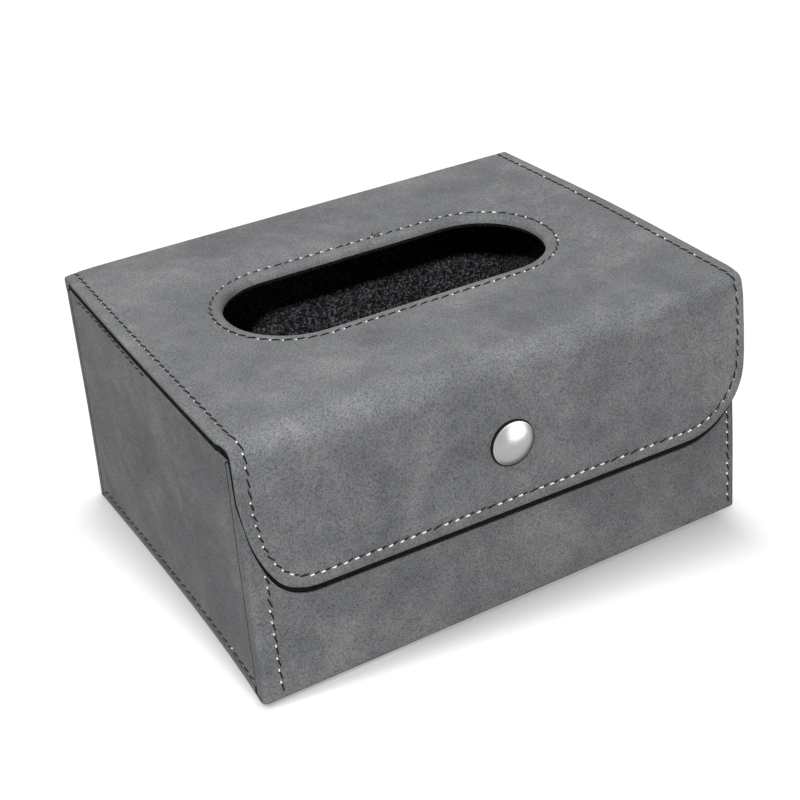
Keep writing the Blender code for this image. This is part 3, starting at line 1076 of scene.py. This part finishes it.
def make_board(clouds, grain):
    material, tree, shader = new_material("stiffener_board")
    cloud = place_group(tree, clouds, Patch_scale=40.0, Wisp_scale=300.0, Wisp_share=0.5)
    tone = ramp(tree, cloud.outputs["Mask"], [(0.3, (0.26, 0.24, 0.19)), (0.7, (0.36, 0.33, 0.28))])
    connect(tree, (tone, shader.inputs["Base Color"]))
    set_inputs(shader, Roughness=0.85)
    fine = place_group(tree, grain, Nap_scale=900.0, Pore_scale=1500.0, Pore_share=0.4)
    bump(tree, shader, fine.outputs["Height"], 0.3, 0.0001)
    return material


# Metal pieces

def turned(name, profile, seat, material, closed=False):
    """Spin a profile of (radius, height) about the button's axis, with heights out of the seat."""
    bpy.ops.object.select_all(action="DESELECT")
    bpy.ops.mesh.primitive_plane_add(size=2 * cap_radius)
    item = bpy.context.object
    item.name = name
    start_editing(item)
    choose(item, "VERT", lambda vertex: vertex.co.x < 0 or vertex.co.y < 0)
    bpy.ops.mesh.delete(type="VERT")
    bpy.ops.mesh.select_all(action="SELECT")
    radius, height = profile[0]
    bpy.ops.transform.translate(value=(radius - cap_radius, -height - cap_radius, 0))
    course = profile[1:] + profile[:1] if closed else profile[1:]
    for next_radius, next_height in course:
        draw_out((next_radius - radius, height - next_height, 0))
        radius, height = next_radius, next_height
    bpy.ops.mesh.select_all(action="SELECT")
    bpy.ops.mesh.spin(steps=72, angle=4 * right_angle, center=(0, 0, 0), axis=(0, 1, 0))
    weld(spin_weld)
    face_outwards()
    bpy.ops.transform.translate(value=(0, seat, button_height))
    stop_editing()
    round_edges(item, metal_edge, segments=2, degrees=50)
    smooth_faces(item, 40)
    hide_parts(name.replace("turned_", ""))
    return finish(item, material)


def dome(radius, rise, base, steps):
    """The profile of a part of a ball, from its top to its rim."""
    ball = (radius ** 2 + rise ** 2) / (2 * rise)
    widest = math.asin(radius / ball)
    return [(ball * math.sin(angle), base + ball * (math.cos(angle) - math.cos(widest)))
            for angle in stations(0, widest, steps)]


def is_cap_shade_rim(face):
    """True for the cap's turned edge, painted dark all round as the shade and dark reflection at its
    rim.
    """
    middle = face.calc_center_median()
    return math.hypot(middle.x, middle.z - button_height) > cap_radius - cap_shade_rim


def model_button():
    """The domed cap and its rivet, and the magnet in its case on the flap's inner side."""
    outer = dome(cap_radius - cap_rim, cap_rise, cap_lift + cap_rim, 14)
    inner = dome(cap_radius - cap_rim - cap_shell, cap_rise - cap_shell, cap_lift + cap_rim, 12)
    rolled = [(cap_radius - cap_rim + cap_rim * math.sin(angle), cap_lift + cap_rim * math.cos(angle))
              for angle in stations(0.45 * right_angle, 1.8 * right_angle, 6)]
    cap = turned("turned_button_cap", outer + rolled + inner[::-1], flap_face, nickel)
    # The turned edge is painted dark: painted shade and reflection round the cap
    cover_faces(cap, painted_shade_nickel, is_cap_shade_rim)

    floor_depth = flap_thickness + case_floor
    head = floor_depth - flap_felt + seat_gap
    flange = 2 * seat_gap + cap_shell
    profile = [(0, flange + rivet_head), (flange_radius, flange + rivet_head), (flange_radius, flange),
               (shank_radius, flange), (shank_radius, -head), (rivet_head_radius, -head),
               (rivet_head_radius, -head - rivet_head), (0, -head - rivet_head)]
    rivet = turned("turned_button_rivet", profile, flap_face, steel)

    face = flap_thickness - flap_felt
    mouth = flap_thickness + case_proud
    bore = case_radius - case_wall
    hole = shank_radius + seat_gap
    profile = [(case_radius, -face), (case_radius, -mouth), (bore, -mouth), (bore, -face - case_floor),
               (hole, -face - case_floor), (hole, -face)]
    case = turned("turned_magnet_case", profile, flap_face, steel, closed=True)

    outside = bore - seat_gap
    inside = rivet_head_radius + seat_gap
    profile = [(outside, -head), (outside, -mouth), (inside, -mouth), (inside, -head)]
    return [cap, rivet, case, turned("turned_flap_magnet", profile, flap_face, magnet, closed=True)]


def model_catch():
    """The steel plate on the front wall, and the washer behind it."""
    plate = seat_gap + plate_thickness
    washer_low, washer_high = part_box("catch_washer")
    tail = front_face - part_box("catch_plate")[1].y
    profile = [(0, plate + pip_height), (pip_top_radius, plate + pip_height),
               (pip_base_radius, plate), (plate_radius, plate), (plate_radius, seat_gap),
               (shank_radius, seat_gap), (shank_radius, tail), (0, tail)]
    plate_piece = turned("turned_catch_plate", profile, front_face, steel)
    near = front_face - washer_low.y
    far = front_face - washer_high.y
    radius = washer_high.x
    hole = shank_radius + seat_gap
    profile = [(radius, near), (radius, far), (hole, far), (hole, near)]
    return [plate_piece, turned("turned_catch_washer", profile, front_face, steel, closed=True)]


def model_loose_end(name, points):
    """A cut thread end that stands up from the seam, drawn out point by point."""
    bpy.ops.object.select_all(action="DESELECT")
    bpy.ops.mesh.primitive_circle_add(vertices=6, radius=thread_radius * 0.8, fill_type="NGON",
                                      location=points[0])
    end = bpy.context.object
    end.name = name
    apply_place(end)
    start_editing(end)
    choose(end, "FACE", lambda face: True)
    for before, after in zip(points, points[1:]):
        draw_out(Vector(after) - Vector(before))
        bpy.ops.transform.resize(value=(end_thinning,) * 3, center_override=after)
    stop_editing()
    smooth_faces(end, 60)
    return finish(end, thread)


# Camera, lamps, world and floor

def make_camera():
    sin_a, cos_a = math.sin(camera_azimuth), math.cos(camera_azimuth)
    sin_e, cos_e = math.sin(camera_elevation), math.cos(camera_elevation)
    back = Vector((sin_a * cos_e, -cos_a * cos_e, sin_e))
    right = (-back).cross(Vector((0, 0, 1))).normalized()
    up = right.cross(-back)
    rolled_right = right * math.cos(camera_roll) + up * math.sin(camera_roll)
    rolled_up = up * math.cos(camera_roll) - right * math.sin(camera_roll)
    lens = bpy.data.cameras.new("camera")
    lens.lens = camera_lens
    lens.sensor_width = 36
    lens.clip_start = 0.01
    camera = link(bpy.data.objects.new("camera", lens))
    place = rolled_right * camera_side + rolled_up * camera_rise + back * camera_distance
    turn = Matrix((rolled_right, rolled_up, back)).transposed().to_4x4()
    camera.matrix_world = Matrix.Translation(place) @ turn
    bpy.context.scene.camera = camera


def add_lamp(name, azimuth, elevation, distance, size, power):
    """A round lamp that faces the box, its azimuth counted from the front towards the right."""
    lamp = bpy.data.lights.new(name, "AREA")
    lamp.shape = "DISK"
    lamp.size = size
    lamp.energy = power
    item = link(bpy.data.objects.new(name, lamp))
    a, e = math.radians(azimuth), math.radians(elevation)
    way = Vector((math.sin(a) * math.cos(e), -math.cos(a) * math.cos(e), math.sin(e)))
    item.location = way * distance
    item.rotation_mode = "QUATERNION"
    item.rotation_quaternion = way.to_track_quat("Z", "Y")
    return item


def make_world():
    """A weak white light from all round, that cameras, metal and glass see as plain white."""
    world = bpy.data.worlds.new("studio")
    bpy.context.scene.world = world
    world.use_nodes = True
    tree = world.node_tree
    plain = tree.nodes["Background"]
    set_inputs(plain, Color=(1, 1, 1, 1), Strength=0.13)
    white = node(tree, "ShaderNodeBackground")
    set_inputs(white, Color=(1, 1, 1, 1), Strength=1)
    path = node(tree, "ShaderNodeLightPath")
    seen = node(tree, "ShaderNodeMath", operation="MAXIMUM")
    seen_too = node(tree, "ShaderNodeMath", operation="MAXIMUM")
    mix = node(tree, "ShaderNodeMixShader")
    connect(tree, (path.outputs["Is Camera Ray"], seen.inputs[0]),
            (path.outputs["Is Transmission Ray"], seen.inputs[1]),
            (seen.outputs["Value"], seen_too.inputs[0]),
            (path.outputs["Is Glossy Ray"], seen_too.inputs[1]),
            (seen_too.outputs["Value"], mix.inputs["Fac"]),
            (plain.outputs["Background"], mix.inputs[1]),
            (white.outputs["Background"], mix.inputs[2]),
            (mix.outputs["Shader"], tree.nodes["World Output"].inputs["Surface"]))


def floor_tone(tree):
    """White, with the box's soft shadow, which is narrow at the near corner and clear on the right."""
    shade = node(tree, "ShaderNodeAmbientOcclusion", samples=16)
    tilt = node(tree, "ShaderNodeCombineXYZ")
    set_inputs(tilt, X=-0.06, Y=0.42, Z=0.90)
    place = node(tree, "ShaderNodeTexCoord").outputs["Object"]
    from_corner = node(tree, "ShaderNodeVectorMath", operation="DISTANCE")
    from_corner.inputs[1].default_value = (-half_width, front_face - front_lean - left_lean, 0)
    widening = node(tree, "ShaderNodeMapRange")
    set_inputs(widening, From_Max=0.200, To_Min=0.003, To_Max=0.040)
    tone = ramp(tree, shade.outputs["AO"], [(0.35, grey(0.30)), (0.70, grey(0.62)),
                                            (0.96, grey(floor_white))])
    apart = node(tree, "ShaderNodeSeparateXYZ")
    right_side = node(tree, "ShaderNodeMapRange")
    set_inputs(right_side, From_Min=half_width * 0.92, From_Max=half_width * 1.12)
    clear = node(tree, "ShaderNodeMix", data_type="RGBA")
    clear.inputs["B"].default_value = (*grey(floor_white), 1)
    connect(tree, (tilt.outputs["Vector"], shade.inputs["Normal"]),
            (place, from_corner.inputs[0]), (from_corner.outputs["Value"], widening.inputs["Value"]),
            (widening.outputs["Result"], shade.inputs["Distance"]),
            (place, apart.inputs["Vector"]), (apart.outputs["X"], right_side.inputs["Value"]),
            (right_side.outputs["Result"], clear.inputs["Factor"]), (tone, clear.inputs["A"]))
    return clear.outputs["Result"]


def make_floor():
    """A plain white floor that keeps the box's soft shadow and throws little light back."""
    bpy.ops.object.select_all(action="DESELECT")
    bpy.ops.mesh.primitive_plane_add(size=floor_size, location=(0, 0, floor_level - floor_gap))
    floor = bpy.context.object
    floor.name = "floor"
    material, tree, shader = new_material("white_floor")
    set_inputs(shader, Base_Color=(*grey(0.12), 1), Roughness=1, Specular_IOR_Level=0)
    glow = node(tree, "ShaderNodeEmission")
    path = node(tree, "ShaderNodeLightPath")
    seen = node(tree, "ShaderNodeMath", operation="MAXIMUM")
    add = node(tree, "ShaderNodeAddShader")
    connect(tree, (floor_tone(tree), glow.inputs["Color"]),
            (path.outputs["Is Camera Ray"], seen.inputs[0]),
            (path.outputs["Is Glossy Ray"], seen.inputs[1]),
            (seen.outputs["Value"], glow.inputs["Strength"]),
            (shader.outputs["BSDF"], add.inputs[0]), (glow.outputs["Emission"], add.inputs[1]),
            (add.outputs["Shader"], tree.nodes["Material Output"].inputs["Surface"]))
    finish(floor, material)


bpy.context.scene.view_settings.view_transform = "Standard"
make_camera()
make_world()
make_floor()
key = add_lamp("key", -33, 38, 1.5, 0.07, 21.6)
key.visible_glossy = False
add_lamp("back", 165, 62, 1.4, 0.9, 5.8)
add_lamp("rear_fill", 172, 7, 1.2, 0.5, 3.4)
add_lamp("left_fill", -80, 32, 1.5, 0.6, 3.6)
add_lamp("right_fill", 36, 6, 1.0, 0.75, 1.2)
cap_card = add_lamp("cap_card", 33, 14, 1.0, 1.5, 11.0)
cap_card.visible_diffuse = False

# The chance in the stitches, the same in every run
chance = random.Random(11)

# The materials of the pieces
clouds = make_clouds_group()
grain = make_grain_group()
nubuck = make_nubuck("grey_nubuck", clouds, grain, 1.0)
# A darker copy for the walls: painted shade, so they come out darker than the lid and the flap
shaded_wall_nubuck = make_nubuck("shaded_wall_nubuck", clouds, grain, 0.84)
# The dyed cut edges' colour, partly painted shade in the seam gaps
edge_dye_and_shade = make_edge_dye_and_shade(grain)
felt = make_felt("black_felt", grain, 1000.0, 0.003, 0.0155, 0.136)
# A darker copy of the felt: painted shade on the felt's edges and foot and on the walls' open rim
painted_shade_felt = make_felt("painted_shade_felt", grain, 1500.0, 0.002, 0.006, 0.020)
thread = make_thread("grey_thread", grain, 0.004, 0.015, 0.12)
# Pale thread: painted glints at the stitches' ends
painted_glint_thread = make_thread("painted_glint_thread", grain, 0.62, 0.92, 0.6)
nickel = make_metal("satin_nickel", grain, (0.37, 0.37, 0.368), (0.42, 0.42, 0.418), 0.29, 0.33)
# A near-black nickel for the cap's rim: painted shade and reflection
painted_shade_nickel = make_metal("painted_shade_nickel", grain, grey(0.010), grey(0.022), 0.40, 0.50)
steel = make_metal("plated_steel", grain, grey(0.52), grey(0.62), 0.26, 0.36)
magnet = make_metal("magnet", grain, (0.16, 0.16, 0.17), (0.23, 0.23, 0.24), 0.40, 0.5)
board = make_board(clouds, grain)

# Lid, flap and hinge leather, cut from one flat pattern
skin = model_lid_leather()
lid_leather = skin_piece(skin, "lid_leather", [((0, lid_front_cut, 0), (0, -1, 0)),
                                               ((0, lid_rear_cut, 0), (0, 1, 0))])
flap_leather = skin_piece(skin, "flap_leather", [((0, lid_front_cut, 0), (0, 1, 0))])
hinge_leather = skin_piece(skin, "hinge_leather", [((0, lid_rear_cut, 0), (0, -1, 0))])
bpy.data.objects.remove(skin)
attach(lid_leather, "lid")
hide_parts("lid_cover")
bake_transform(flap_leather)
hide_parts("flap_cover")
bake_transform(hinge_leather)
lid_felt = model_lid_felt()
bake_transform(lid_felt)
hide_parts("lid_lining", "flap_lining")

# Walls of the box
walls = {}
for side in ("front", "rear", "left", "right", "base"):
    edge = base_edge_radius if side == "base" else seam_edge_radius
    walls[side] = finished_copy(side + "_cover", side + "_leather", edge)
trim(walls["rear"], (0, 0, rear_seam), (0, 0, 1))
for vertex in walls["base"].data.vertices:
    if vertex.co.y < front_face + base_front_band:
        vertex.co.y += base_recess

# Boards inside the lid and the flap
board_rear = lid_rear_cut - board_short
board_foot = flap_bottom + leather_short + turned_under
lid_stiffener = fitted_board("lid_board", lambda x, y, z: (x, min(y, board_rear), z), lambda y, z: y)
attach(lid_stiffener, "lid")
flap_stiffener = fitted_board("flap_board", lambda x, y, z: (x, y, max(z, board_foot)),
                              lambda y, z: bend_y - bend_radius * right_angle - bend_z + z)
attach(flap_stiffener, "flap")

# Seams
stitch = model_stitch()
# Copies of the stitch with a painted glint at one end
short_glint_stitch = with_painted_glint(stitch, short_gleam)
long_glint_stitch = with_painted_glint(stitch, long_gleam)
edge_seam = sew("lid_edge_stitches", lid_seats(lid_edge_path()), edge_kind)
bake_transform(edge_seam)
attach(sew("slot_stitches", lid_seats(slot_path()), slot_kind), "lid")

body_seats = []
for x in (left_corner_inset - half_width, half_width - right_corner_inset):
    for y, top, out in ((front_face, front_rim, -1), (rear_face, rear_seam, 1)):
        body_seats += wall_seats((x, y, top - corner_end_gap), (x, y, corner_end_gap), (0, out, 0))
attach(sew("corner_stitches", body_seats, lambda place: (short_glint_stitch, dark_at_corners)), "root")

side_seats = []
hem_rear = side_high.y - hem_rear_gap
for side in (-1, 1):
    x = side * half_width
    side_seats += wall_seats((x, side_low.y + foot_end_gap, foot_rise),
                             (x, side_high.y - foot_end_gap, foot_rise), (side, 0, 0))
    side_seats += wall_seats((x, hem_front, hem_height(hem_front)),
                             (x, hem_rear, hem_height(hem_rear)), (side, 0, 0))
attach(sew("side_stitches", side_seats, lambda place: (short_glint_stitch, dark_on_sides)), "root")
for model in (stitch, short_glint_stitch, long_glint_stitch):
    bpy.data.objects.remove(model)

# Two cut thread ends behind the slot: x, how far out of the seam, and how far over the lid
tack_y = slot_offset + slot_width / 2 + slot_inset
for name, course in (("loose_end_left", [(0.0100, 0, -0.0004), (0.0103, 0.0006, 0.0003),
                                         (0.0112, 0.0016, 0.0007), (0.0118, 0.0028, 0.0008)]),
                     ("loose_end_right", [(0.0110, 0, -0.0004), (0.0116, 0.0004, 0.0003),
                                          (0.0130, 0.0009, 0.0006), (0.0143, 0.0012, 0.0005)])):
    points = [(x, tack_y + out, lid_top + up) for x, out, up in course]
    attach(model_loose_end(name, points), "lid")

# Metal
for piece in model_button():
    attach(piece, "flap")
for piece in model_catch():
    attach(piece, "root")

# What the frame still shows: the linings and boards of the walls
for name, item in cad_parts.items():
    if item.hide_render:
        continue
    item.data.materials.clear()
    item.data.materials.append(felt if name.endswith("lining") else board)
